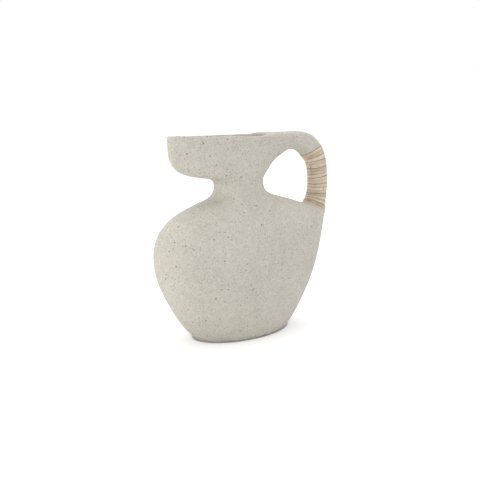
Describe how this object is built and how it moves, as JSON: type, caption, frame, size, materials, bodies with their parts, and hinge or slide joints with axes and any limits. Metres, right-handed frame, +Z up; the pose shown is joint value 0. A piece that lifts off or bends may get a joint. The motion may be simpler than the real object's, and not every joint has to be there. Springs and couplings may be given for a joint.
{
  "type": "spouted stoneware jug",
  "caption": "Flattened stoneware jug with a boat-shaped beaked mouth, short neck and cane-bound side handle, for holding and pouring water.",
  "frame": {"origin": "middle of the foot, on the surface the jug stands on", "axes": "+Z up; the beak points along -X and the handle along +X; the XZ plane is the plane of symmetry of the vessel"},
  "size_m": [0.2764, 0.1322, 0.2776],
  "materials": {
    "body_clay": "matte off-white speckled stoneware",
    "handle_clay": "matte off-white speckled stoneware",
    "cane": "dry peeled cane, satin"
  },
  "bodies": {
    "root": {"jug_body": "body_clay", "handle": "handle_clay", "cane_foot_tie": "cane", "cane_winding": "cane", "cane_head_tie": "cane"}
  },
  "joints": []
}
